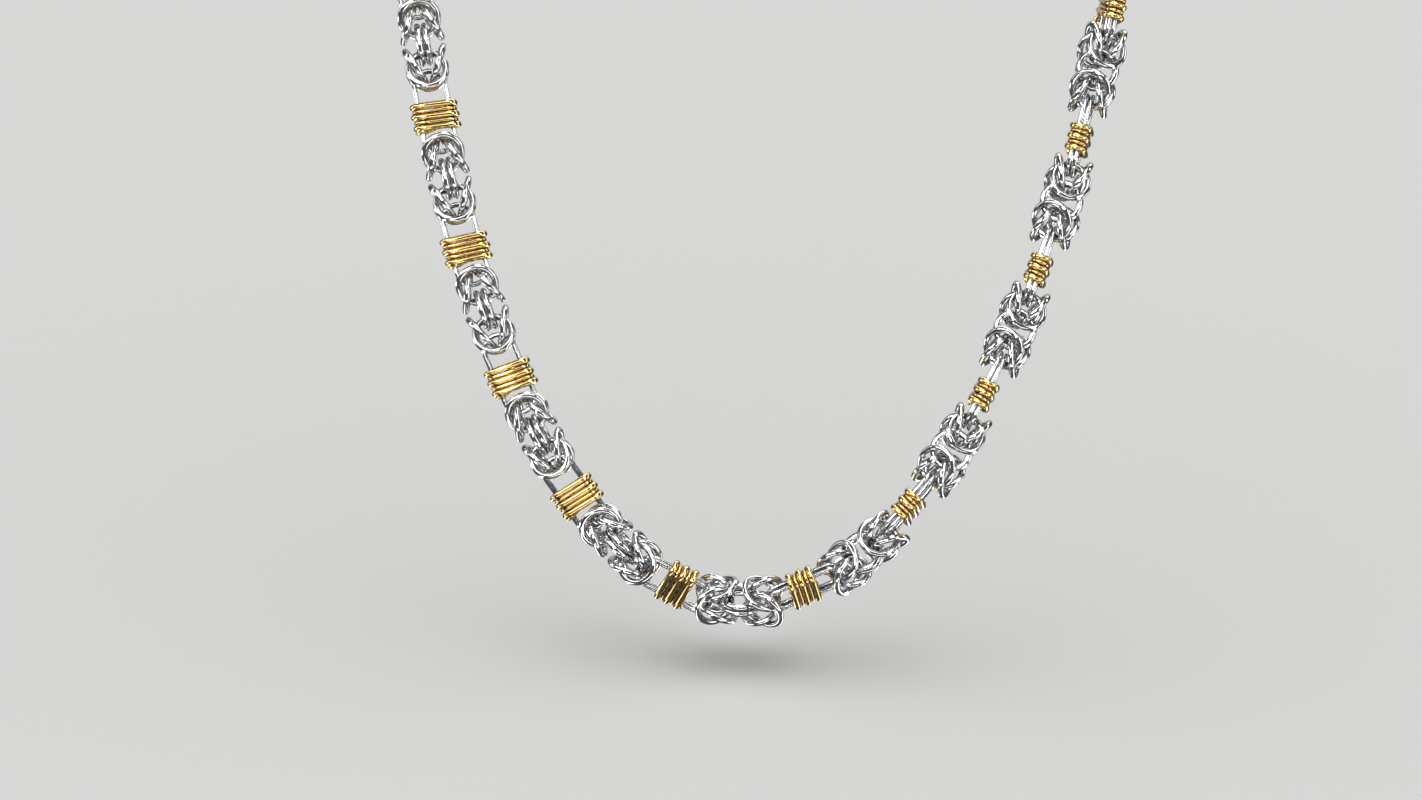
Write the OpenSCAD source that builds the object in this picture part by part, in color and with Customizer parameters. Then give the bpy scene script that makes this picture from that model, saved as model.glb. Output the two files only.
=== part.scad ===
// Byzantine chain necklace with wire-wrapped links, hanging as it is worn. Millimetres.
// The middle of the chain is at the lowest point. Places along it are counted from there:
// 0 is the middle knotted length, odd numbers are wrapped links, even numbers are knotted
// lengths, and the minus side runs to the wearer's right, which is -X.

/* [Rings] */
// Hole across a round ring of the knotted lengths
ring_hole = 4.44; // [3.6:0.02:5.4]
// Wire of the round rings
ring_wire = 0.94; // [0.8:0.02:1.1]
// Gap between wires that lie side by side or hook together
wire_gap = 0.12; // [0.1:0.01:0.2]
// Angle to which the first pair of a knot opens away from the wrapped link
knot_spread = 25; // [22:1:27]
// Angle to which the folded pair of a knot flares towards the wrapped link
fold_flare = 21; // [20:1:30]
// Flare added at the lowest point, where the chain bends most
bend_flare = 6; // [4:1:10]

/* [Wrapped links] */
// Wire of the long oval links
oval_wire = 0.68; // [0.6:0.01:0.8]
// Outside length of a long oval link
oval_length = 12.64; // [12.2:0.02:14]
// Outside width of a long oval link
oval_width = 5.2; // [4.9:0.05:5.6]
// Wire of the gold-coloured wrap
wrap_wire = 0.74; // [0.6:0.01:0.78]
// Gap between the wrap and the oval links inside it
wrap_gap = 0.16; // [0.15:0.01:0.25]
// Turns of the wrap
wrap_turns = 5.5; // [3.5:1:5.5]
// Distance from one turn of the wrap to the next
wrap_pitch = 0.82; // [0.8:0.01:0.88]
// How far every second turn stands out past the others at each edge
wrap_bulge = 0.16; // [0:0.01:0.3]
// How far a wrap slides down a link that hangs upright
wrap_slide = 0.7; // [0:0.05:0.75]

/* [Chain] */
// Wrapped links on each side of the middle, the nape's clasp excluded
links_per_side = 14; // [12:1:16]
// Play where the ring pairs hook into the oval links
hook_play = 0.76; // [0.7:0.01:0.85]
// Play where the middle pair hooks into a knot
middle_play = 0.5; // [0.45:0.01:0.6]
// How far the folded pair sits inside the far end of the first pair, in ring wires
fold_inset = 0.6; // [0.5:0.01:0.65]
// Width of the plain back stretch
back_width = 7.2; // [6:0.1:7.4]

/* [Clasp] */
// Distance between the clasp's two hooking points
clasp_span = 24; // [20:0.5:30]
// Width of the clasp's body
clasp_width = 6.4; // [5:0.1:8]
// Thickness of the clasp's body
clasp_thickness = 3.4; // [2.6:0.1:4]
// Wire of the clasp's end loops
clasp_wire = 0.9; // [0.8:0.05:1]

/* [Hidden] */
// Smoothness of turned shapes
$fn = 48;
// Sides of a swept round wire
wire_sides = 6;
// Points of the wrap's path round each of its corners, and its corners in one turn
corner_points = 3;
turn_corners = 4;
// Sides of the plain back stretch
back_sides = 10;
// Steps of the route between two of its points
route_steps = 40;
// Wrapped links on each side that are built ring by ring
front_links_per_side = 9;
// Share of the roll between two places that a knot takes on towards its wrapped link
knot_roll_share = 0.35;
// Share of a knot's own twist that its folded pair takes on
fold_twist_share = 0.6;
// Share by which a wrapped link moves out of the bend, across its flat and through it
bend_out_share = 0.6;
bend_in_share = 0.4;
// Colours of the two metals
steel = [0.76, 0.77, 0.8];
gold = [0.95, 0.76, 0.36];

// Points that steer one side of the worn route: x, y, z, from the lowest point to the nape
route_points = [
  [0, -119.5, -170.5], [22, -115.5, -157.5], [36, -108, -134.5], [44.5, -100, -110.5],
  [50, -92, -85.5], [54.5, -83.5, -60], [58.7, -76, -35], [62, -58, -15],
  [62.5, -35.5, -1.5], [51.5, -10, 6.5], [28, 3.5, 10], [0, 6, 11.5]
];
// How many of these points, past the first, lie on the chest
chest_points = 3;
// Roll of the chain at its numbered places: place, degrees from flat on the body
roll_table = [
  [-11, -5], [-7, -4], [-5, 0], [-3, 10], [-2, 9], [-1, 30], [0, 32], [1, 52], [2, 61],
  [3, 77], [5, 85], [7, 83], [9, 80], [11, 100], [13, 130], [15, 160], [17, 180]
];
// Twist of both knots of a length against its middle pair: place, degrees
twist_table = [[-2, 0], [0, 8], [2, 8], [4, 16], [9, 16], [16, 0]];

// Sizes that follow from the ones above
ring_radius = (ring_hole + ring_wire) / 2;
pair_offset = (ring_wire + wire_gap) / 2;
oval_half = (oval_length - oval_wire) / 2;
oval_radius = (oval_width - oval_wire) / 2;
oval_offset = (oval_wire + wire_gap) / 2;
first_near = oval_half - (oval_wire + ring_wire) / 2 - hook_play;
first_far = first_near + 2 * ring_radius * cos(knot_spread);
fold_near = first_far - fold_inset * ring_wire;
middle_place = fold_near - ring_wire - middle_play + ring_radius;
hook_place = (first_near + oval_half + (ring_wire - oval_wire) / 2) / 2;
link_span = 2 * hook_place;
length_span = 2 * (middle_place - hook_place);

// Wrap: half width and half thickness of the turns at the wire's middle, and its corner
wrap_half_width = oval_width / 2 + wrap_gap + wrap_wire / 2;
wrap_half_depth = oval_offset + oval_wire / 2 + wrap_gap + wrap_wire / 2;
wrap_corner = oval_wire / 2 + wrap_gap + wrap_wire / 2;

function unit(a) = a / norm(a);
function mirrored(p) = [-p[0], p[1], p[2]];
function square_to(a, u) = unit(a - (a * u) * u);
function total(list, i = 0) = i == len(list) ? 0 : list[i] + total(list, i + 1);

// Smooth closed route through the steering points, one side of it
route_last = len(route_points) - 1;
function steer(i) =
  i < 0 ? mirrored(route_points[-i]) :
  i > route_last ? mirrored(route_points[2 * route_last - i]) :
  route_points[i];
function blend(t) = [
  pow(1 - t, 3), 3 * pow(t, 3) - 6 * pow(t, 2) + 4,
  -3 * pow(t, 3) + 3 * pow(t, 2) + 3 * t + 1, pow(t, 3)
] / 6;
function on_route(i, t) =
  blend(t) * [steer(i - 1), steer(i), steer(i + 1), steer(i + 2)];
raw_route = [
  for (i = [0 : route_last - 1], k = [0 : route_steps - 1]) on_route(i, k / route_steps),
  on_route(route_last - 1, 1)
];
raw_length = total([for (i = [1 : len(raw_route) - 1]) norm(raw_route[i] - raw_route[i - 1])]);
chain_half = length_span / 2 + links_per_side * (link_span + length_span) + clasp_span / 2;
route_scale = chain_half / raw_length;
nape_point = raw_route[len(raw_route) - 1] * route_scale;
seat = [0, clasp_thickness / 2, 0] - nape_point;
route = [for (p = raw_route) p * route_scale + seat];

// Hooking points: each lies on the route at its exact distance from the one before
function past_x(j, x) = route[j + 1][0] >= x ? j : past_x(j + 1, x);
function past(j, p, d) = norm(route[j + 1] - p) >= d ? j : past(j + 1, p, d);
function on_step(j, p, d) =
  let (a = route[j], b = route[j + 1] - route[j], f = a - p)
  let (h = b * b, k = f * b, c = f * f - d * d)
  a + b * ((-k + sqrt(k * k - h * c)) / h);
function walk(j, p, spans, n = 0) =
  n == len(spans) ? [p] :
  let (i = past(j, p, spans[n]))
  concat([p], walk(i, on_step(i, p, spans[n]), spans, n + 1));
first_step = past_x(0, length_span / 2);
first_share = (length_span / 2 - route[first_step][0])
  / (route[first_step + 1][0] - route[first_step][0]);
first_hook = route[first_step] + first_share * (route[first_step + 1] - route[first_step]);
spans = [for (i = [1 : links_per_side], k = [0, 1]) k == 0 ? link_span : length_span];
hooks = walk(first_step, first_hook, spans);
clasp_half = hooks[len(hooks) - 1][0];

// Axis of the piece at a place, and the outward face carried square to it from the middle
function place_start(e) = e > 0 ? hooks[e - 1] : mirrored(hooks[-e]);
function place_end(e) = e >= 0 ? hooks[e] : mirrored(hooks[-e - 1]);
function axis(e) = unit(place_end(e) - place_start(e));
chest_rise = route[chest_points * route_steps] - route[0];
middle_face = cross([1, 0, 0], unit([0, chest_rise[1], chest_rise[2]]));
function carried(e, f) =
  e > len(hooks) - 1 ? [] :
  let (g = square_to(f, axis(e)))
  concat([g], carried(e + 1, g));
faces = carried(0, middle_face);
function face(e) = e >= 0 ? faces[e] : mirrored(faces[-e]);
function roll(e) = lookup(e, roll_table);

// Bend at a wrapped link, and the shift that keeps its hooks centred in it
function turned_side(e) = cross(face(e), axis(e)) * cos(roll(e)) + face(e) * sin(roll(e));
function turned_face(e) = face(e) * cos(roll(e)) - cross(face(e), axis(e)) * sin(roll(e));
function bend(e) = (axis(e + 1) - axis(e - 1)) / 2;
function bend_shift(e) =
  turned_face(e) * (bend(e) * turned_face(e)) * bend_in_share * ring_radius
  - turned_side(e) * (bend(e) * turned_side(e)) * bend_out_share * oval_radius;

// Puts a piece at a place: +X along the chain, +Y across the wrapped link, +Z through it
module at_place(e, shift = [0, 0, 0]) {
  u = axis(e);
  v = turned_side(e);
  w = turned_face(e);
  m = (place_start(e) + place_end(e)) / 2 + shift;
  multmatrix([
    [u[0], v[0], w[0], m[0]],
    [u[1], v[1], w[1], m[1]],
    [u[2], v[2], w[2], m[2]]
  ]) children();
}

// A round ring standing across X, its near wire at the origin, reaching towards +X
module ring() {
  translate([ring_radius, 0, 0])
    rotate_extrude()
      translate([ring_radius, 0])
        circle(d = ring_wire);
}

// One knot on the minus side of the middle pair: the first pair, and the folded pair locked
// in it. The turn follows the wrapped link beyond, and the twist is the knot's own
module knot(turn, twist, flare) {
  for (s = [-1, 1]) {
    rotate([turn - twist, 0, 0])
      translate([first_near - middle_place, s * pair_offset, 0])
        rotate([90, 0, s * knot_spread])
          ring();
    rotate([turn - fold_twist_share * twist, 0, 0])
      translate([fold_near - middle_place, 0, s * pair_offset])
        rotate([0, 180 + s * flare, 0])
          ring();
  }
}

// One knotted length, ten rings: the middle pair with a knot at each end, the second one
// turned half round
module byzantine_segment(e) {
  twist = lookup(e, twist_table);
  flare = fold_flare + (e == 0 ? bend_flare : 0);
  color(steel)
    at_place(e) {
      for (s = [-1, 1])
        translate([-ring_radius, s * pair_offset, 0])
          rotate([90, 0, 0])
            ring();
      knot((roll(e - 1) - roll(e)) * knot_roll_share, twist, flare);
      rotate([0, 0, 180])
        knot((roll(e) - roll(e + 1)) * knot_roll_share, twist, flare);
    }
}

// One long oval link, flat in XY
module oval_link() {
  straight = oval_half - oval_radius;
  for (s = [-1, 1]) {
    translate([s * straight, 0, 0])
      rotate([0, 0, -90 * s])
        rotate_extrude(angle = 180)
          translate([oval_radius, 0])
            circle(d = oval_wire);
    translate([-straight, s * oval_radius, 0])
      rotate([0, 90, 0])
        cylinder(d = oval_wire, h = 2 * straight);
  }
}

// The pairs of oval links on one side
module oval_links(side) {
  color(steel)
    for (i = [1 : front_links_per_side])
      at_place(side * (2 * i - 1), bend_shift(side * (2 * i - 1)))
        for (s = [-1, 1])
          translate([0, 0, s * oval_offset])
            oval_link();
}

// A tube with flat ends: rings of points along a path, square to it
function across(path, k) =
  unit(path[min(k + 1, len(path) - 1)] - path[max(k - 1, 0)]);
function ring_points(path, k, side_way, radius, sides) =
  let (t = across(path, k), a = unit(cross(t, side_way)), b = cross(a, t))
  [for (i = [0 : sides - 1])
    path[k] + radius * (cos(360 * i / sides) * a + sin(360 * i / sides) * b)];
module tube(path, side_way, radius, sides) {
  n = len(path);
  points = [for (k = [0 : n - 1]) each ring_points(path, k, side_way, radius, sides)];
  walls = [
    for (k = [0 : n - 2], i = [0 : sides - 1])
      let (p = k * sides + i, q = k * sides + (i + 1) % sides)
      each [[p, q, q + sides], [p, q + sides, p + sides]]
  ];
  first_end = [for (i = [0 : sides - 1]) sides - 1 - i];
  last_end = [for (i = [0 : sides - 1]) (n - 1) * sides + i];
  polyhedron(points = points, faces = concat([first_end, last_end], walls), convexity = 4);
}

// The wrap's path, point k: round the corners of each turn in order. Every second turn
// stands out at both edges, and the advance follows the length of wire laid
wrap_face = 2 * (wrap_half_width - wrap_corner);
wrap_side = 2 * (wrap_half_depth - wrap_corner);
corner_length = PI * wrap_corner / 2;
wrap_round = 2 * wrap_face + 2 * wrap_side + turn_corners * corner_length;
corner_start = [
  wrap_face,
  wrap_face + wrap_side + corner_length,
  2 * wrap_face + wrap_side + 2 * corner_length,
  2 * wrap_face + 2 * wrap_side + 3 * corner_length
];
turn_points = turn_corners * corner_points;
function turn_number(k) = floor(k / turn_points);
function corner_number(k) = floor(k / corner_points) % turn_corners;
function corner_share(k) = (k % corner_points) / (corner_points - 1);
function wrap_laid(k) = corner_start[corner_number(k)] + corner_share(k) * corner_length;
function wrap_advance(k) = wrap_pitch * (turn_number(k) + wrap_laid(k) / wrap_round);
function wrap_width(k) = wrap_half_width + (turn_number(k) % 2 == 0 ? wrap_bulge : 0);
function wrap_point(k) =
  let (q = corner_number(k), a = 90 * (1 - q - corner_share(k)))
  let (ahead = q < 2 ? 1 : -1, up = q == 0 || q == 3 ? 1 : -1)
  [
    wrap_advance(k) - wrap_pitch * wrap_turns / 2,
    ahead * (wrap_width(k) - wrap_corner) + wrap_corner * cos(a),
    up * (wrap_half_depth - wrap_corner) + wrap_corner * sin(a)
  ];
wrap_start = [
  -wrap_pitch * wrap_turns / 2, wrap_corner - wrap_half_width, wrap_half_depth
];

// The gold-coloured wrap of one wrapped link, slid towards the link's lower end
module wire_wrap(e) {
  color(gold)
    at_place(e, bend_shift(e) - axis(e) * axis(e)[2] * wrap_slide)
      tube(
        concat([wrap_start], [for (k = [0 : turn_points * wrap_turns - 1]) wrap_point(k)]),
        [1, 0, 0], wrap_wire / 2, wire_sides
      );
}

// The back stretch of one side in plain form, from the last wrapped link to the clasp
module back_chain(side) {
  n = 2 * front_links_per_side - 1;
  last = len(hooks) - 1;
  clear = (oval_wire + ring_wire) / 2 + hook_play + wire_gap;
  path = concat(
    [hooks[n] + clear * unit(hooks[n + 1] - hooks[n])],
    [for (i = [n + 1 : last - 1]) hooks[i]],
    [hooks[last] - clear * unit(hooks[last] - hooks[last - 1])]
  );
  color(steel)
    tube([for (p = path) side > 0 ? p : mirrored(p)], [0, -1, 1], back_width / 2, back_sides);
}

// The plain clasp at the nape: a flat body with rounded ends and a loop at each end
module clasp() {
  loop_end = clasp_half + (hook_play + clasp_wire) / 2;
  loop_place = loop_end - oval_radius;
  body_half = loop_place - oval_radius + clasp_wire / 2;
  round_place = body_half - clasp_width / 2;
  color(steel)
    translate(route[len(route) - 1])
      rotate([90, 0, 0]) {
        for (s = [-1, 1]) {
          translate([s * round_place, 0, -clasp_thickness / 2])
            cylinder(d = clasp_width, h = clasp_thickness);
          translate([s * loop_place, 0, 0])
            rotate_extrude()
              translate([oval_radius, 0])
                circle(d = clasp_wire);
        }
        translate([-round_place, -clasp_width / 2, -clasp_thickness / 2])
          cube([2 * round_place, clasp_width, clasp_thickness]);
      }
}

byzantine_segment(-16);  // segment_01
byzantine_segment(-14);  // segment_02
byzantine_segment(-12);  // segment_03
byzantine_segment(-10);  // segment_04
byzantine_segment(-8);  // segment_05
byzantine_segment(-6);  // segment_06
byzantine_segment(-4);  // segment_07
byzantine_segment(-2);  // segment_08
byzantine_segment(0);  // segment_09
byzantine_segment(2);  // segment_10
byzantine_segment(4);  // segment_11
byzantine_segment(6);  // segment_12
byzantine_segment(8);  // segment_13
byzantine_segment(10);  // segment_14
byzantine_segment(12);  // segment_15
byzantine_segment(14);  // segment_16
byzantine_segment(16);  // segment_17
wire_wrap(-17);  // wrap_01
wire_wrap(-15);  // wrap_02
wire_wrap(-13);  // wrap_03
wire_wrap(-11);  // wrap_04
wire_wrap(-9);  // wrap_05
wire_wrap(-7);  // wrap_06
wire_wrap(-5);  // wrap_07
wire_wrap(-3);  // wrap_08
wire_wrap(-1);  // wrap_09
wire_wrap(1);  // wrap_10
wire_wrap(3);  // wrap_11
wire_wrap(5);  // wrap_12
wire_wrap(7);  // wrap_13
wire_wrap(9);  // wrap_14
wire_wrap(11);  // wrap_15
wire_wrap(13);  // wrap_16
wire_wrap(15);  // wrap_17
wire_wrap(17);  // wrap_18
oval_links(-1);  // oval_links_left
oval_links(1);  // oval_links_right
back_chain(-1);  // back_chain_left
back_chain(1);  // back_chain_right
clasp();
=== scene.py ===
# %% [markdown]
# A byzantine chain necklace with wire-wrapped links, hanging as it is worn.
#
# The chain repeats two pieces. A knotted length is ten round rings of polished steel wire:
# a pair in the middle, and at each end a pair that opens round a folded pair. A wrapped
# link is two long oval links side by side, bound with a flat coil of two gold-coloured
# wires, a thick one and a thin one. The solids already give the round rings, the oval links
# and the clasp their true shape, so they stay and get their finish here. Each coil comes as
# one coarse six-sided wire and the hidden back of the chain as a plain tube, so this lesson
# builds both again.

# %% Load the solids and keep their box
import math
from random import Random

import bpy
import numpy as np
from mathutils import Matrix, Vector


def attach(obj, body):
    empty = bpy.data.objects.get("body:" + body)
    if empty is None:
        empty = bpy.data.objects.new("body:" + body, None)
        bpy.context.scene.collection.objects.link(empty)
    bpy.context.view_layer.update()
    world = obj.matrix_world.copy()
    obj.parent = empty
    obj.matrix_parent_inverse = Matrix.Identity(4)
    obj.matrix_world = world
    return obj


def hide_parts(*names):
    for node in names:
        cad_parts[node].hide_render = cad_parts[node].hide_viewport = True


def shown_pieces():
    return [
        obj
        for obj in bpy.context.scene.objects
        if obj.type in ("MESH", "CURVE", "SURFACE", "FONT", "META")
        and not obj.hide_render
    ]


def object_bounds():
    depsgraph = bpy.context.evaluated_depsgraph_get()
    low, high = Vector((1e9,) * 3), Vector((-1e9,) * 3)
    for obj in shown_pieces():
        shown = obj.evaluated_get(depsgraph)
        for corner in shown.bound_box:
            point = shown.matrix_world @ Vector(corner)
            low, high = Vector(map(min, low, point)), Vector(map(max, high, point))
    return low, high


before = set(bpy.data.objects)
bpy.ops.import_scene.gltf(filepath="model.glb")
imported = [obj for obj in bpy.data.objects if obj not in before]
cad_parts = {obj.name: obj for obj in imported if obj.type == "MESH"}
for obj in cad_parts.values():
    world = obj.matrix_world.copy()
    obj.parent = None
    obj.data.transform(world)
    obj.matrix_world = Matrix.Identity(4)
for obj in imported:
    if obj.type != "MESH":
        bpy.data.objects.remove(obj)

cad_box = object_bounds()
print(len(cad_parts), "solids' nodes in a box of",
      [round(size * 1000, 1) for size in cad_box[1] - cad_box[0]], "mm")

# %% [markdown]
# Sizes. Blender works in metres, so each size of the wirework is written in millimetres
# times MM. They are the sizes of the solids, because what is built here has to take the
# solids' place exactly.

# %% Sizes of the round rings and the oval links
MM = 0.001
RING_HOLE = 4.44 * MM
RING_WIRE = 0.94 * MM
OVAL_WIRE = 0.68 * MM
OVAL_LENGTH = 12.64 * MM
OVAL_WIDTH = 5.2 * MM
PAIR_GAP = 0.12 * MM

RING_RADIUS = (RING_HOLE + RING_WIRE) / 2
PAIR_OFFSET = (RING_WIRE + PAIR_GAP) / 2
OVAL_HALF = (OVAL_LENGTH - OVAL_WIRE) / 2
OVAL_RADIUS = (OVAL_WIDTH - OVAL_WIRE) / 2
OVAL_OFFSET = (OVAL_WIRE + PAIR_GAP) / 2
print("a ring is", round((RING_HOLE + 2 * RING_WIRE) / MM, 2), "mm wide outside")

# %% [markdown]
# How the rings hang in each other. On the real chain the first pair of a knotted length
# hangs in the end of the oval links and opens like a book. The folded pair goes through its
# far end and lies back in it, which locks it open, and the middle pair holds the folded
# pair. So each place follows from the one before, counted from the middle of an oval link,
# with a little play that keeps the wires clear. The hooking points, where lengths and links
# take hold of each other, share out the chain between its rigid pieces.

# %% Places of the rings along one repeat
HOOK_PLAY = 0.76 * MM
MIDDLE_PLAY = 0.5 * MM
FOLD_INSET = 0.6  # of the wire's width
KNOT_SPREAD = math.radians(25)
FOLD_FLARE = math.radians(21)

FIRST_NEAR = OVAL_HALF - (OVAL_WIRE + RING_WIRE) / 2 - HOOK_PLAY
FIRST_FAR = FIRST_NEAR + 2 * RING_RADIUS * math.cos(KNOT_SPREAD)
FOLD_NEAR = FIRST_FAR - FOLD_INSET * RING_WIRE
MIDDLE_PLACE = FOLD_NEAR - RING_WIRE - MIDDLE_PLAY + RING_RADIUS
HOOK_PLACE = (FIRST_NEAR + OVAL_HALF + (RING_WIRE - OVAL_WIRE) / 2) / 2
LINK_SPAN = 2 * HOOK_PLACE
LENGTH_SPAN = 2 * (MIDDLE_PLACE - HOOK_PLACE)
print("one repeat of the chain is", round((LINK_SPAN + LENGTH_SPAN) / MM, 2), "mm long")

# %% [markdown]
# The course of the chain. It hangs on a smooth closed curve that a few steering points
# pull into place: up the chest on both sides, over the shoulders and round the nape. A
# uniform cubic B-spline is the plain way to get such a curve, because each stretch blends
# four neighbouring points. Then the hooking points are walked off along it, each at its
# exact distance from the one before, so that every rigid piece spans two of them.

# %% The steering points and the smooth course
LINKS_PER_SIDE = 14
CLASP_SPAN = 24 * MM
CLASP_THICKNESS = 3.4 * MM
COURSE_POINTS = np.array([
    [0, -119.5, -170.5], [22, -115.5, -157.5], [36, -108, -134.5], [44.5, -100, -110.5],
    [50, -92, -85.5], [54.5, -83.5, -60], [58.7, -76, -35], [62, -58, -15],
    [62.5, -35.5, -1.5], [51.5, -10, 6.5], [28, 3.5, 10], [0, 6, 11.5],
]) * MM
COURSE_STEPS = 40
MIRROR = np.array([-1, 1, 1])


def steer(i):
    """The steering point with that number, going on past both ends in the mirror."""
    last = len(COURSE_POINTS) - 1
    if i < 0:
        return COURSE_POINTS[-i] * MIRROR
    if i > last:
        return COURSE_POINTS[2 * last - i] * MIRROR
    return COURSE_POINTS[i]


def on_course(i, t):
    """A point of the curve, a share t of the way past steering point i."""
    weights = np.array([
        (1 - t) ** 3, 3 * t ** 3 - 6 * t ** 2 + 4,
        -3 * t ** 3 + 3 * t ** 2 + 3 * t + 1, t ** 3,
    ]) / 6
    return weights @ np.array([steer(i - 1), steer(i), steer(i + 1), steer(i + 2)])


stretches = len(COURSE_POINTS) - 1
course = [on_course(i, k / COURSE_STEPS)
          for i in range(stretches) for k in range(COURSE_STEPS)]
course = np.array(course + [on_course(stretches - 1, 1)])
course_length = np.linalg.norm(np.diff(course, axis=0), axis=1).sum()
chain_half = (LENGTH_SPAN / 2 + LINKS_PER_SIDE * (LINK_SPAN + LENGTH_SPAN)
              + CLASP_SPAN / 2)
course *= chain_half / course_length
course += np.array([0, CLASP_THICKNESS / 2, 0]) - course[-1]
print("half the necklace is", round(chain_half / MM, 1), "mm long")

# %% The hooking points along the course


def walk(points, start_step, start, spans):
    """Points on a polyline, each at its exact straight distance from the one before."""
    step, here, found = start_step, start, [start]
    for span in spans:
        while np.linalg.norm(points[step + 1] - here) < span:
            step += 1
        along = points[step + 1] - points[step]
        back = points[step] - here
        # the quadratic formula gives the share of this stretch where the distance is right
        a, half_b, c = along @ along, back @ along, back @ back - span * span
        here = points[step] + along * (-half_b + math.sqrt(half_b * half_b - a * c)) / a
        found.append(here)
    return np.array(found)


first_x = LENGTH_SPAN / 2
first_step = int(np.argmax(course[1:, 0] >= first_x))
stretch = course[first_step + 1] - course[first_step]
first_hook = course[first_step] + (first_x - course[first_step][0]) / stretch[0] * stretch
hooks = walk(course, first_step, first_hook, [LINK_SPAN, LENGTH_SPAN] * LINKS_PER_SIDE)
print(len(hooks), "hooking points on each side")

# %% [markdown]
# Places and how each one is turned. Place 0 is the knotted length at the lowest point,
# odd places are wrapped links and even ones knotted lengths, and the minus side is the
# wearer's right. Each place has an axis along the chain. Its outward face is carried from
# place to place with no twist, and then rolled about the axis by the number of degrees
# that the picture shows: the links on one side lie flat, those on the other stand on edge.
# At the nape the chain lies flat again.

# %% Axis, face and roll of a place
ROLLS = [
    # place and degrees, from the nape down the wearer's right side and up the left
    (-29, 72.5), (-17, -5), (-11, -5), (-7, -4), (-5, 0), (-3, 10), (-2, 9), (-1, 30),
    (0, 32), (1, 52), (2, 61), (3, 77), (5, 85), (7, 83), (9, 80), (11, 100), (13, 130),
    (15, 160), (17, 180), (29, 107.5),
]


def unit(v):
    """The vector with length 1."""
    return v / np.linalg.norm(v)


def place_ends(e):
    """The two hooking points of a place, the one nearer the minus end first."""
    start = hooks[e - 1] if e > 0 else hooks[-e] * MIRROR
    end = hooks[e] if e >= 0 else hooks[-e - 1] * MIRROR
    return start, end


def axis(e):
    """Direction of a place along the chain."""
    start, end = place_ends(e)
    return unit(end - start)


chest = unit((course[3 * COURSE_STEPS] - course[0]) * np.array([0, 1, 1]))
faces = []
carried = np.cross([1, 0, 0], chest)
for place in range(len(hooks)):
    carried = unit(carried - (carried @ axis(place)) * axis(place))
    faces.append(carried)


def roll(e):
    """Roll of a place, in degrees, from the rolls of its neighbours."""
    places, degrees = zip(*ROLLS)
    return float(np.interp(e, places, degrees))


def turned(e):
    """Side and face directions of a place, rolled about its axis."""
    face = faces[e] if e >= 0 else faces[-e] * MIRROR
    side = np.cross(face, axis(e))
    angle = math.radians(roll(e))
    return (side * math.cos(angle) + face * math.sin(angle),
            face * math.cos(angle) - side * math.sin(angle))


print("the lowest length is rolled by", roll(0), "degrees, the next ones by", roll(-2), roll(2))

# %% Where a place sits in the world
BEND_OUT_SHARE = 0.6  # where the chain bends in the flat of the link
BEND_IN_SHARE = 0.4  # where it bends across the flat


def bend_shift(e):
    """How far a wrapped link moves out of the chain's bend, so that its hooks stay clear."""
    side, face = turned(e)
    bend = (axis(e + 1) - axis(e - 1)) / 2
    return (face * (bend @ face) * BEND_IN_SHARE * RING_RADIUS
            - side * (bend @ side) * BEND_OUT_SHARE * OVAL_RADIUS)


def place_matrix(e, shift=np.zeros(3)):
    """Turns a piece drawn along X, with its flat facing Z, into its place on the chain."""
    side, face = turned(e)
    start, end = place_ends(e)
    columns = np.array([axis(e), side, face, (start + end) / 2 + shift]).T
    return Matrix([list(row) for row in columns] + [[0, 0, 0, 1]])


for e in (-1, 0, 9):
    print("place", e, "is at", [round(v / MM, 1) for v in place_matrix(e).translation], "mm")

# %% [markdown]
# A wire. Every piece of this chain is round wire that follows some path, so one function
# makes them all: it carries a small circle along the path, keeping it square to the path
# and free of twist. The mesh comes from plain lists of corners and faces, which is quick
# for thousands of short wires. Each face corner also gets a UV that runs along the wire
# and round it, in millimetres, so that a texture laid on the part can follow its wires.

# %% One function for every wire
WIRE_MAP = "along_wire"
STEEP = 0.9  # a path that starts more upright than this is guided by Y instead of Z
TIP_SHARE = 0.72  # how much of its width a rounded end keeps


def wire_rings(path, radius, sides, closed):
    """Circles of points round a path, one for each of its points, without twist."""
    ahead = np.roll(path, -1, 0) - np.roll(path, 1, 0)
    if not closed:
        ahead[0] = path[1] - path[0]
        ahead[-1] = path[-1] - path[-2]
    ahead /= np.linalg.norm(ahead, axis=1)[:, None]
    guess = np.array([0, 0, 1.0]) if abs(ahead[0][2]) < STEEP else np.array([0, 1.0, 0])
    angles = np.linspace(0, 2 * math.pi, sides, endpoint=False)
    rings = []
    for here, way in zip(path, ahead):
        guess = unit(guess - (guess @ way) * way)
        other = np.cross(way, guess)
        rings.append(here + radius * (np.outer(np.cos(angles), guess)
                                      + np.outer(np.sin(angles), other)))
    return rings


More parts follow.
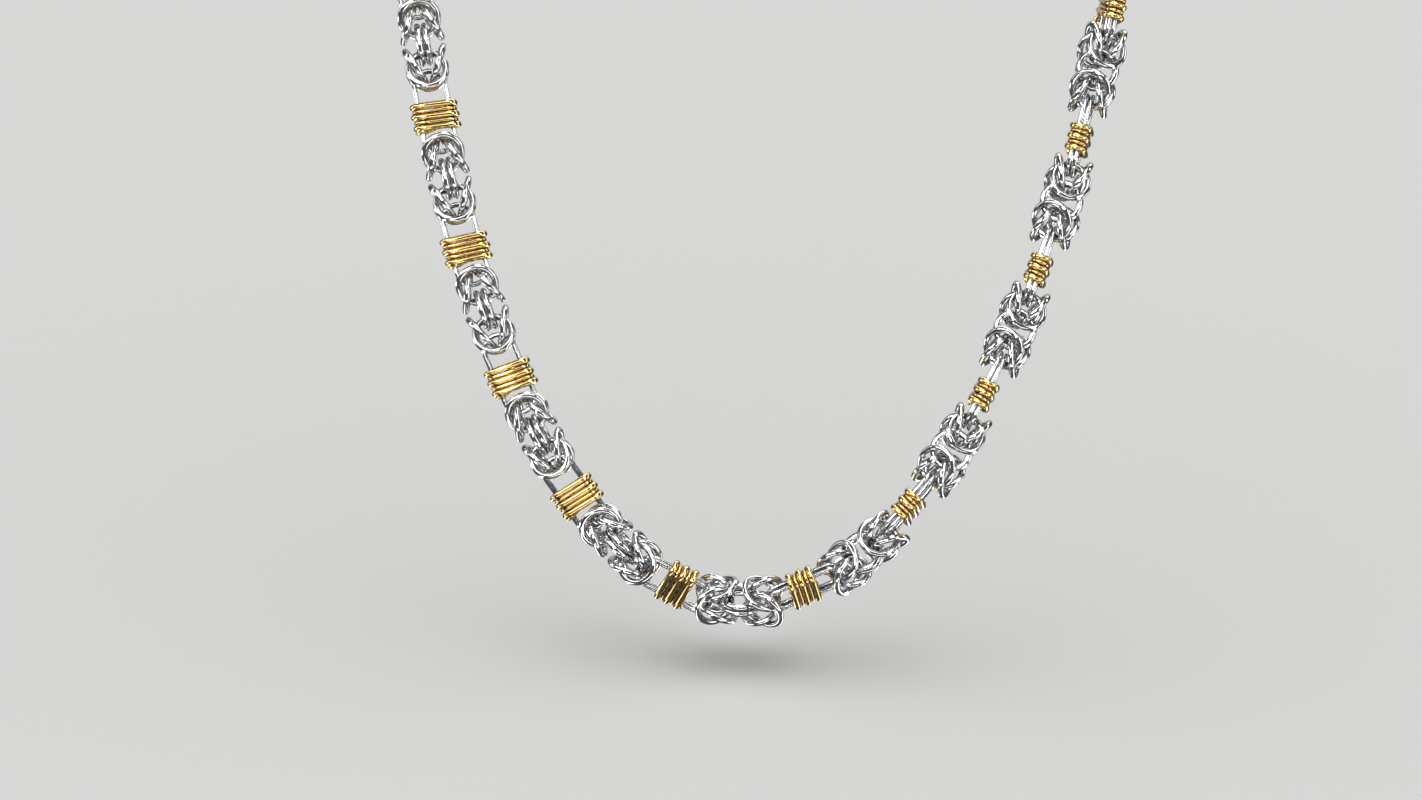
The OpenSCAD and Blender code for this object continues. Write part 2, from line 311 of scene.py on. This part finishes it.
def add_wire(parts, path, radius, sides, closed=False, tip=0.0):
    """Adds one wire's points, faces and UVs to a growing mesh. A tip rounds its two ends."""
    path = np.array(path)
    rings = wire_rings(path, radius, sides, closed)
    lengths = np.linalg.norm(np.diff(path, axis=0), axis=1)
    along = list(np.concatenate([[0], np.cumsum(lengths)]) / MM)
    if tip:
        first, last = unit(path[0] - path[1]), unit(path[-1] - path[-2])
        small_first = path[0] + (rings[0] - path[0]) * TIP_SHARE + first * tip
        small_last = path[-1] + (rings[-1] - path[-1]) * TIP_SHARE + last * tip
        rings = [small_first] + rings + [small_last]
        along = [along[0] - tip / MM] + along + [along[-1] + tip / MM]
    base = len(parts["points"])
    parts["points"] += [tuple(p) for ring in rings for p in ring]
    count = len(rings)
    girth = 2 * math.pi * radius / MM
    if closed:
        along.append(along[-1] + np.linalg.norm(path[0] - path[-1]) / MM)
    for k in range(count if closed else count - 1):
        for s in range(sides):
            a, b = base + k * sides + s, base + k * sides + (s + 1) % sides
            c = base + (k + 1) % count * sides + (s + 1) % sides
            d = base + (k + 1) % count * sides + s
            parts["faces"].append((a, b, c, d))
            u0, u1 = along[k], along[k + 1]
            v0, v1 = s / sides * girth, (s + 1) / sides * girth
            parts["uvs"] += [(u0, v0), (u0, v1), (u1, v1), (u1, v0)]
    if not closed:
        for start, order in ((base, -1), (base + (count - 1) * sides, 1)):
            parts["faces"].append([start + s for s in range(sides)][::order])
            parts["uvs"] += [(0.0, 0.0)] * sides


def new_parts():
    """An empty mesh in the making."""
    return {"points": [], "faces": [], "uvs": []}


def make_piece(name, parts, matrix=Matrix.Identity(4)):
    """A smooth-shaded object from the collected parts, riding on the one body."""
    mesh = bpy.data.meshes.new(name)
    mesh.from_pydata(parts["points"], [], parts["faces"])
    mesh.uv_layers.new(name=WIRE_MAP).data.foreach_set(
        "uv", np.array(parts["uvs"], np.float32).ravel())
    mesh.polygons.foreach_set("use_smooth", [True] * len(mesh.polygons))
    mesh.transform(matrix)
    mesh.update()
    piece = bpy.data.objects.new(name, mesh)
    bpy.context.scene.collection.objects.link(piece)
    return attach(piece, "root")


# %% [markdown]
# The gold-coloured coils. Each is wound by hand over the flat pair of oval links from two
# wires at once. The thick one stands out at the edges as three fat rounded loops, and the
# thin one lies back in the grooves between them. A wire runs across the face, bends round
# the edge, runs back behind and comes round again. A helix would be the plain way, but it
# climbs evenly, while these wires lie nearly square across the face and climb behind. So
# each path is built from crossings and bends by turns, each with its own advance. The
# crossings bow out a little, because wire never lies dead straight, and a seeded random
# draw lets each bend differ, as hand winding does.

# %% Sizes of a coil
THICK_WIRE = 0.9 * MM
THIN_WIRE = 0.6 * MM
WOUND_GAP = 0.08 * MM
WOUND_PITCH = 1.64 * MM
THICK_CROSSINGS = 5
THIN_CROSSINGS = 4
print("a coil is", round((OVAL_WIDTH + 2 * (WOUND_GAP + THICK_WIRE)) / MM, 2),
      "mm wide over its thick loops and",
      round((OVAL_WIDTH + 2 * (WOUND_GAP + THIN_WIRE)) / MM, 2), "mm over its thin ones")

# %% The path of one wire of a coil
# how far it climbs along the link, in turns; the bend after a crossing behind takes the rest
FRONT_ADVANCE = 0.12
FRONT_BEND_ADVANCE = 0.12
BACK_ADVANCE = 0.54
CROSSING_BOW = 0.07 * MM
HAND_BULGE = 0.05 * MM
HAND_ADVANCE = 0.02 * MM
BEND_POINTS = 17
CROSSING_POINTS = 9


def wound_path(draw, wire, crossings, start):
    """Points along one wire of a coil, which starts and ends with a bend that lies square.

    The crossings are numbered, the even ones in front and the odd ones behind, and each has
    its bend after it. Number -1 is only the bend that the wire starts with. The start is
    where crossing 0 begins, in turns from the coil's middle.
    """
    half_width = OVAL_WIDTH / 2 + WOUND_GAP + wire / 2
    half_depth = OVAL_OFFSET + OVAL_WIRE / 2 + WOUND_GAP + wire / 2
    path = []
    for number in range(-1, crossings):
        width = half_width + draw.uniform(-1, 1) * HAND_BULGE
        wander = draw.uniform(-1, 1) * HAND_ADVANCE
        turn = number // 2
        if number % 2 == 0:
            way, begins, advance = 1, turn, FRONT_ADVANCE
            bend_begins = begins + advance
            bend_ends = bend_begins + FRONT_BEND_ADVANCE
        else:
            way, begins, advance = -1, turn + FRONT_ADVANCE + FRONT_BEND_ADVANCE, BACK_ADVANCE
            bend_begins = begins + advance
            bend_ends = turn + 1
        if number == -1:
            bend_begins = bend_ends
        if number == crossings - 1:
            bend_ends = bend_begins
        for k in range(CROSSING_POINTS if number >= 0 else 0):
            share = (k + 0.5) / CROSSING_POINTS
            bow = CROSSING_BOW * math.sin(math.pi * share)
            path.append((
                WOUND_PITCH * (start + begins + share * advance) + wander,
                way * (2 * share - 1) * (width - half_depth),
                way * (half_depth + bow),
            ))
        for k in range(BEND_POINTS):
            share = k / (BEND_POINTS - 1)
            angle = math.pi * (0.5 - share)
            turns = bend_begins + share * (bend_ends - bend_begins)
            path.append((
                WOUND_PITCH * (start + turns) + wander,
                way * (width - half_depth + half_depth * math.cos(angle)),
                way * half_depth * math.sin(angle),
            ))
    return path


# %% Both wires of a coil
COIL_SIDES = 12
THICK_TIP = 0.1 * MM
THIN_TIP = 0.08 * MM
THIN_SHIFT = 0.5  # in turns, so that the thin wire lies half way between the thick one's


def add_coil(parts, draw):
    """Adds a coil's two wires, side by side round the middle of the links."""
    start = -(THICK_CROSSINGS - 1 + 2 * FRONT_ADVANCE) / 4
    thick = wound_path(draw, THICK_WIRE, THICK_CROSSINGS, start)
    thin = wound_path(draw, THIN_WIRE, THIN_CROSSINGS, start + THIN_SHIFT)
    add_wire(parts, thick, THICK_WIRE / 2, COIL_SIDES, tip=THICK_TIP)
    add_wire(parts, thin, THIN_WIRE / 2, COIL_SIDES, tip=THIN_TIP)


# %% Build the coils of the front
FRONT_LINKS_PER_SIDE = 9
COIL_SLIDE = 0.7 * MM
WINDING_SEED = 11


def coil_matrix(e):
    """A coil's place, slid towards the lower end of its link."""
    return place_matrix(e, bend_shift(e) - axis(e) * axis(e)[2] * COIL_SLIDE)


last_front = 2 * FRONT_LINKS_PER_SIDE - 1
draw = Random(WINDING_SEED)
coils = []
for number, e in enumerate(range(-last_front, last_front + 1, 2), 1):
    parts = new_parts()
    add_coil(parts, draw)
    coil = make_piece(f"coil_{number:02d}", parts, coil_matrix(e))
    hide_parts(f"wrap_{number:02d}")
    coils.append(coil)
print(len(coils), "coils of", len(coils[0].data.polygons), "faces replace the coarse ones")

# %% [markdown]
# The back of the chain. The solids only hold a plain tube here, so the real thing is
# built link by link: the same ten-ring lengths and wrapped pairs, put on the same places
# along the course. Round rings and oval links are closed wires.

# %% Paths of the rings and the oval links
RING_POINTS = 48
RING_SIDES = 12
KNOT_TWIST_SHARE = 0.35


def ring(near, reach, across):
    """A round ring's path: it starts at its near point and reaches away along a direction."""
    angles = np.linspace(0, 2 * math.pi, RING_POINTS, endpoint=False)
    center = np.array(near) + RING_RADIUS * np.array(reach)
    return center + RING_RADIUS * (np.outer(np.cos(angles), reach)
                                   + np.outer(np.sin(angles), across))


def rolled(points, degrees):
    """Points turned about the X axis."""
    c, s = math.cos(math.radians(degrees)), math.sin(math.radians(degrees))
    return np.array(points) @ np.array([[1, 0, 0], [0, c, s], [0, -s, c]])


def knot_paths():
    """The four rings of one knot: the first pair, and the folded pair locked in it."""
    paths = []
    for s in (-1, 1):
        spread = (math.cos(KNOT_SPREAD), s * math.sin(KNOT_SPREAD), 0)
        paths.append(ring((FIRST_NEAR - MIDDLE_PLACE, s * PAIR_OFFSET, 0), spread, (0, 0, 1)))
        flare = (-math.cos(FOLD_FLARE), 0, s * math.sin(FOLD_FLARE))
        paths.append(ring((FOLD_NEAR - MIDDLE_PLACE, 0, s * PAIR_OFFSET), flare, (0, 1, 0)))
    return paths


def length_paths(e):
    """The ten rings of a knotted length, each knot turned a little towards its link."""
    paths = [ring((-RING_RADIUS, s * PAIR_OFFSET, 0), (1, 0, 0), (0, 0, 1)) for s in (-1, 1)]
    for neighbour, way in ((e - 1, 1), (e + 1, -1)):
        twist = (roll(neighbour) - roll(e)) * KNOT_TWIST_SHARE
        paths += [rolled(path * np.array([way, way, 1]), twist) for path in knot_paths()]
    return paths


def oval_path(height):
    """One long oval link, flat in XY: two straight sides and two round ends."""
    straight = OVAL_HALF - OVAL_RADIUS
    half_turn = np.linspace(-math.pi / 2, math.pi / 2, RING_POINTS // 2)
    end = np.array([[straight + OVAL_RADIUS * math.cos(a), OVAL_RADIUS * math.sin(a), height]
                    for a in half_turn])
    return np.concatenate([end, end * np.array([-1, -1, 1])])


print("a knotted length has", len(length_paths(0)), "rings")

# %% Build the back, one side at a time


def add_paths(parts, paths, matrix, radius):
    """Adds closed wires along the paths, put in their place by the matrix."""
    for path in paths:
        add_wire(parts, [matrix @ Vector(p) for p in path], radius, RING_SIDES, closed=True)


last_back = 2 * LINKS_PER_SIDE
for side, name in ((-1, "left"), (1, "right")):
    rings, ovals, wound = new_parts(), new_parts(), {}
    for e in range(last_front + 1, last_back + 1):
        place = side * e
        if e % 2 == 0:
            add_paths(rings, length_paths(place), place_matrix(place), RING_WIRE / 2)
        else:
            pair = [oval_path(s * OVAL_OFFSET) for s in (-1, 1)]
            add_paths(ovals, pair, place_matrix(place, bend_shift(place)), OVAL_WIRE / 2)
            wound[e] = new_parts()
            add_coil(wound[e], draw)
    back_rings = make_piece(f"back_rings_{name}", rings)
    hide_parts(f"back_chain_{name}")
    back_ovals = make_piece(f"back_ovals_{name}", ovals)
    for e, parts in wound.items():
        coil = make_piece(f"back_coil_{name}_{e}", parts, coil_matrix(side * e))
        coils.append(coil)
    print("back", name, "has", len(rings["faces"]) + len(ovals["faces"]), "steel faces")

# %% [markdown]
# Finishes. Up close, polished wire is never a perfect mirror. Handling leaves fine
# scratches in all directions, and fingers leave faint patches that are a little duller.
# Both metals share these marks, so each is a node group with its own inputs and outputs,
# made once and placed in both materials with its own values.

# %% Helpers for node trees
PER_METRE = 1 / MM


def set_input(tree, node, name, value):
    """Sets one input of a node, by its name or number, or links a socket to it."""
    socket = node.inputs[name]
    if isinstance(value, bpy.types.NodeSocket):
        tree.links.new(value, socket)
    else:
        socket.default_value = value


def add_node(tree, kind, **inputs):
    """A node with its inputs set. An underscore stands for a space in an input's name."""
    node = tree.nodes.new(kind)
    for name, value in inputs.items():
        set_input(tree, node, name.replace("_", " "), value)
    return node


def math_node(tree, operation, a, b=0.0, clamp=False):
    """One sum, product or the like, and its output."""
    node = tree.nodes.new("ShaderNodeMath")
    node.operation, node.use_clamp = operation, clamp
    set_input(tree, node, 0, a)
    set_input(tree, node, 1, b)
    return node.outputs[0]


def new_group(name, inputs, outputs):
    """An empty node group with float inputs and outputs, and its two end nodes."""
    group = bpy.data.node_groups.new(name, "ShaderNodeTree")
    sockets = group.interface
    for label, default in inputs:
        socket = sockets.new_socket(label, in_out="INPUT", socket_type="NodeSocketFloat")
        socket.default_value = default
    for label in outputs:
        sockets.new_socket(label, in_out="OUTPUT", socket_type="NodeSocketFloat")
    return group, group.nodes.new("NodeGroupInput"), group.nodes.new("NodeGroupOutput")


# %% [markdown]
# Scratches. A noise that is stretched a long way in one direction looks like a bundle of
# hairlines, and the narrow band where it crosses its middle value is a thin line. Three
# such layers, each turned its own way, give crossing scratches.

# %% The scratches group
LAYER_TURNS = ((0.3, 0.5, 0.9), (1.2, -0.4, 2.1), (-0.8, 0.9, -0.5))
STRETCH = (1.0, 0.06, 1.0)
MIDDLE_VALUE = 0.5

scratches, ends_in, ends_out = new_group(
    "fine_scratches", [("Lines per mm", 3.0), ("Width", 0.02)], ["Mask"])
where = scratches.nodes.new("ShaderNodeTexCoord").outputs["Object"]
count = math_node(scratches, "MULTIPLY", ends_in.outputs["Lines per mm"], PER_METRE)
most = 0.0
for turn in LAYER_TURNS:
    bent = add_node(scratches, "ShaderNodeMapping", Vector=where, Rotation=turn, Scale=STRETCH)
    hairs = add_node(scratches, "ShaderNodeTexNoise", Vector=bent.outputs["Vector"],
                     Scale=count, Detail=1.0)
    away = math_node(scratches, "SUBTRACT", hairs.outputs["Fac"], MIDDLE_VALUE)
    away = math_node(scratches, "ABSOLUTE", away)
    away = math_node(scratches, "DIVIDE", away, ends_in.outputs["Width"])
    line = math_node(scratches, "SUBTRACT", 1.0, away, clamp=True)
    most = math_node(scratches, "MAXIMUM", line, most)
scratches.links.new(most, ends_out.inputs["Mask"])
print("scratches:", len(scratches.nodes), "nodes")

# %% [markdown]
# Patches and painted shade. Slow noise gives the duller patches that fingers leave. Between
# the rings the colour is darkened where shade falls, which is painted shade. Ambient occlusion
# finds those places: it asks how much of the sky a point sees past its near neighbours.

# %% The patches group
patches, ends_in, ends_out = new_group("dull_patches", [("Patches per mm", 0.35)], ["Mask"])
where = patches.nodes.new("ShaderNodeTexCoord").outputs["Object"]
count = math_node(patches, "MULTIPLY", ends_in.outputs["Patches per mm"], PER_METRE)
slow = add_node(patches, "ShaderNodeTexNoise", Vector=where, Scale=count, Detail=3.0)
level = add_node(patches, "ShaderNodeMapRange", Value=slow.outputs["Fac"],
                 From_Min=0.4, From_Max=0.65)
patches.links.new(level.outputs["Result"], ends_out.inputs["Mask"])
print("patches:", len(patches.nodes), "nodes")

# %% The painted shade group
SHADE_SAMPLES = 6
SHADE_FALLOFF = 1.3

# A mask for painted shade: it is high where a point sees little of the sky past its neighbours.
painted_shade, ends_in, ends_out = new_group("painted_shade_between_rings", [("Reach in mm", 1.2)], ["Mask"])
reach = math_node(painted_shade, "MULTIPLY", ends_in.outputs["Reach in mm"], MM)
seen = add_node(painted_shade, "ShaderNodeAmbientOcclusion", Distance=reach)
seen.samples = SHADE_SAMPLES
hidden = math_node(painted_shade, "SUBTRACT", 1.0, seen.outputs["AO"], clamp=True)
painted_shade.links.new(math_node(painted_shade, "POWER", hidden, SHADE_FALLOFF), ends_out.inputs["Mask"])
print("film:", len(painted_shade.nodes), "nodes")

# %% [markdown]
# The metals. Both are the Principled shader with Metallic 1, so their colour is the
# colour of the reflection. Painted shade and patches mix the colour, all three marks add to
# the roughness, and the scratches also press into the surface through a Bump node.

# %% One recipe for both metals
SCRATCH_WIDTH = 0.018
SCRATCH_ROUGHNESS = 0.06
SCRATCH_BUMP = 0.12
SCRATCH_DEPTH = 0.004 * MM
PATCHES_PER_MM = 0.35
PATCH_TINT = 0.06
CREVICE_ROUGHNESS = 0.15


def add_group(tree, group, **inputs):
    """Places a node group in a material with its own values, and gives its mask."""
    node = tree.nodes.new("ShaderNodeGroup")
    node.node_tree = group
    for name, value in inputs.items():
        set_input(tree, node, name.replace("_", " "), value)
    return node.outputs["Mask"]


def metal(name, clean, shade_and_patch_colour, shade_share, smooth, dull, lines_per_mm, shade_reach):
    """A polished metal with scratches, dull patches and painted shade in its depths."""
    material = bpy.data.materials.new(name)
    material.use_nodes = True
    tree = material.node_tree
    shader = tree.nodes["Principled BSDF"]
    shader.inputs["Metallic"].default_value = 1.0
    scratch = add_group(tree, scratches, Lines_per_mm=lines_per_mm, Width=SCRATCH_WIDTH)
    patch = add_group(tree, patches, Patches_per_mm=PATCHES_PER_MM)
    dark = add_group(tree, painted_shade, Reach_in_mm=shade_reach)

    # Painted shade: where the occlusion mask is high, the colour turns towards the dark second
    # colour.
    share = math_node(tree, "MULTIPLY", dark, shade_share, clamp=True)
    tint = math_node(tree, "MULTIPLY", patch, PATCH_TINT)
    colour = tree.nodes.new("ShaderNodeMix")
    colour.data_type = "RGBA"
    colour.inputs["A"].default_value = (*clean, 1)
    colour.inputs["B"].default_value = (*shade_and_patch_colour, 1)
    tree.links.new(math_node(tree, "ADD", share, tint, clamp=True), colour.inputs["Factor"])
    tree.links.new(colour.outputs["Result"], shader.inputs["Base Color"])

    rough = smooth
    for mask, amount in ((patch, dull - smooth), (scratch, SCRATCH_ROUGHNESS),
                         (dark, CREVICE_ROUGHNESS)):
        added = math_node(tree, "MULTIPLY", mask, amount)
        rough = math_node(tree, "ADD", added, rough, clamp=True)
    tree.links.new(rough, shader.inputs["Roughness"])

    bump = add_node(tree, "ShaderNodeBump", Height=scratch, Strength=SCRATCH_BUMP,
                    Distance=SCRATCH_DEPTH)
    bump.invert = True
    tree.links.new(bump.outputs["Normal"], shader.inputs["Normal"])
    return material


# %% Steel and gold on their pieces
# The second colour of each metal is painted shade in the depths between rings and coil strands;
# the dull patches also lean a little towards it.
steel = metal("polished_steel_wire", clean=(0.86, 0.86, 0.87), shade_and_patch_colour=(0.03, 0.027, 0.027),
              shade_share=1.1, smooth=0.05, dull=0.12, lines_per_mm=2.6, shade_reach=1.4)
gold = metal("gold_coloured_wire", clean=(1.0, 0.73, 0.29), shade_and_patch_colour=(0.16, 0.035, 0.008),
             shade_share=1.25, smooth=0.06, dull=0.12, lines_per_mm=3.2, shade_reach=0.9)
coated = {coil.name for coil in coils}
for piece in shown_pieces():
    material = gold if piece.name in coated else steel
    piece.data.materials.clear()
    piece.data.materials.append(material)

# %% [markdown]
# The camera. It looks a little from above, square to the chest, with the picture tipped by
# two degrees. Its middle looks at a point above the lowest length. A long lens from half a
# metre keeps both sides of the chain in the same proportion as in the picture.

# %% The camera
LENS = 85
ELEVATION = math.radians(18)
TIP = math.radians(2.17)
DISTANCE = 491 * MM
AIM_RIGHT = -5.3 * MM
AIM_UP = 29.1 * MM
NEAREST_SEEN = 10 * MM

lowest = Vector(sum(place_ends(0)) / 2)
back = Vector((0, -math.cos(ELEVATION), math.sin(ELEVATION)))
right = Vector((1, 0, 0))
up = back.cross(right)
aim = lowest + AIM_RIGHT * right + AIM_UP * up
tipped_right = math.cos(TIP) * right + math.sin(TIP) * up
tipped_up = back.cross(tipped_right)
camera = bpy.data.objects.new("camera", bpy.data.cameras.new("camera"))
camera.data.lens = LENS
camera.data.clip_start = NEAREST_SEEN
camera.matrix_world = Matrix.Translation(aim + back * DISTANCE) @ Matrix(
    (tipped_right, tipped_up, back)).transposed().to_4x4()
bpy.context.scene.collection.objects.link(camera)
bpy.context.scene.camera = camera
print("the camera stands at", [round(v / MM) for v in camera.location], "mm")

# %% [markdown]
# The floor. It is plain, matt and pale, just below the lowest length. Steel is a mirror, and
# on this chain the gaps between the highlights are nearly black, so the floor must not show
# in reflections: it is hidden from them. It also blocks no light, because some of the lamps
# have to shine on the wires from below.

# %% The floor
FLOOR_DROP = 6 * MM
FLOOR_HALF = 3.0
PAPER_COLOUR = (0.21, 0.21, 0.207, 1)
PAPER_ROUGHNESS = 0.9

floor_height = cad_box[0].z - FLOOR_DROP
corners = [(x * FLOOR_HALF, y * FLOOR_HALF, floor_height)
           for x, y in ((-1, -1), (1, -1), (1, 1), (-1, 1))]
mesh = bpy.data.meshes.new("floor")
mesh.from_pydata(corners, [], [(0, 1, 2, 3)])
floor = bpy.data.objects.new("floor", mesh)
bpy.context.scene.collection.objects.link(floor)
paper = bpy.data.materials.new("pale_paper")
paper.use_nodes = True
sheet = paper.node_tree.nodes["Principled BSDF"]
sheet.inputs["Base Color"].default_value = PAPER_COLOUR
sheet.inputs["Roughness"].default_value = PAPER_ROUGHNESS
sheet.inputs["Specular IOR Level"].default_value = 0.0
floor.data.materials.append(paper)
floor.visible_glossy = False
floor.visible_shadow = False
print("the floor lies", round(FLOOR_DROP / MM, 1), "mm below the chain")

# %% [markdown]
# The lamps. What a polished wire shows is its surroundings, so the lamps are placed by what
# the wires reflect. Broad boxes in front give each ring its wide highlights, and narrow
# strips draw crisp lines. The flat coils at the bottom mirror directions below the horizon,
# so five strips lie low: without them those coils would stay dark. The camera doesn't see
# the lamps, and they leave the floor alone, because a strip that meets it would show there
# as a glow.

# %% The lamps
SOFT_BOXES = (
    # name, place and then width and height in metres, power in watts
    ("key_box", (-0.6, -0.65, 0.35), 0.7, 0.25, 2.8),
    ("fill_strip", (0.7, -0.6, 0.0), 0.2, 0.9, 2.0),
    ("front_strip", (0.0, -0.6, 0.5), 1.0, 0.06, 1.7),
    ("small_front_box", (-0.15, -0.83, 0.17), 0.07, 0.16, 1.8),
    ("top_strip", (0.05, -0.1, 0.6), 0.9, 0.2, 2.8),
    ("left_strip", (-0.75, 0.0, 0.17), 0.12, 0.4, 0.6),
    ("right_strip", (0.75, 0.05, 0.17), 0.12, 0.4, 0.6),
    ("left_low_strip", (-0.75, 0.05, -0.3), 0.4, 0.16, 0.9),
    ("right_low_strip", (0.75, 0.05, -0.45), 0.12, 0.4, 0.6),
    ("rim_strip", (0.1, 0.5, 0.35), 0.8, 0.2, 1.5),
    ("low_front_strip", (0.05, -0.65, -0.45), 0.8, 0.06, 0.8),
    ("low_left_strip", (-0.32, 0.0, -0.6), 1.0, 0.06, 1.1),
    ("low_right_strip", (0.36, 0.1, -0.6), 1.0, 0.06, 1.1),
    ("back_box", (0.0, 0.8, -0.05), 1.0, 0.7, 0.7),
)


def add_soft_box(name, place, width, height, power):
    """A rectangular lamp aimed at the middle of the front, for the wires alone."""
    lamp = bpy.data.lights.new(name, "AREA")
    lamp.shape, lamp.size, lamp.size_y, lamp.energy = "RECTANGLE", width, height, power
    box = bpy.data.objects.new(name, lamp)
    box.location = Vector(place)
    box.rotation_euler = (aim - box.location).to_track_quat("-Z", "Y").to_euler()
    box.visible_camera = False
    box.visible_diffuse = False
    bpy.context.scene.collection.objects.link(box)


for soft_box in SOFT_BOXES:
    add_soft_box(*soft_box)
print(len(SOFT_BOXES), "soft boxes round the chain")

# %% [markdown]
# Floor light and surroundings. A wide sun straight above lights the floor evenly and leaves
# a soft shadow under the chain, and the wires don't reflect it. The surroundings are dim for
# the wires, which keeps their dark parts dark, but the camera sees them as pale as the
# floor. A Light Path node tells the two apart.

# %% The floor light and the surroundings
FLOOR_LIGHT = 10.0
FLOOR_LIGHT_SPREAD = math.radians(90)
DIM_COLOUR = (0.9, 0.95, 1.0, 1)
DIM_STRENGTH = 0.08
PALE_COLOUR = (0.69, 0.69, 0.68, 1)

daylight = bpy.data.lights.new("floor_light", "SUN")
daylight.energy, daylight.angle = FLOOR_LIGHT, FLOOR_LIGHT_SPREAD
floor_light = bpy.data.objects.new("floor_light", daylight)
floor_light.visible_glossy = False
bpy.context.scene.collection.objects.link(floor_light)

world = bpy.data.worlds.new("studio")
world.use_nodes = True
tree = world.node_tree
dim = tree.nodes["Background"]
dim.inputs["Color"].default_value = DIM_COLOUR
dim.inputs["Strength"].default_value = DIM_STRENGTH
pale = add_node(tree, "ShaderNodeBackground", Color=PALE_COLOUR)
path_kind = tree.nodes.new("ShaderNodeLightPath")
either = add_node(tree, "ShaderNodeMixShader", Fac=path_kind.outputs["Is Camera Ray"])
tree.links.new(dim.outputs["Background"], either.inputs[1])
tree.links.new(pale.outputs["Background"], either.inputs[2])
tree.links.new(either.outputs["Shader"], tree.nodes["World Output"].inputs["Surface"])
bpy.context.scene.world = world
bpy.context.scene.view_settings.view_transform = "Standard"
print("the surroundings shine at", DIM_STRENGTH, "on the wires")
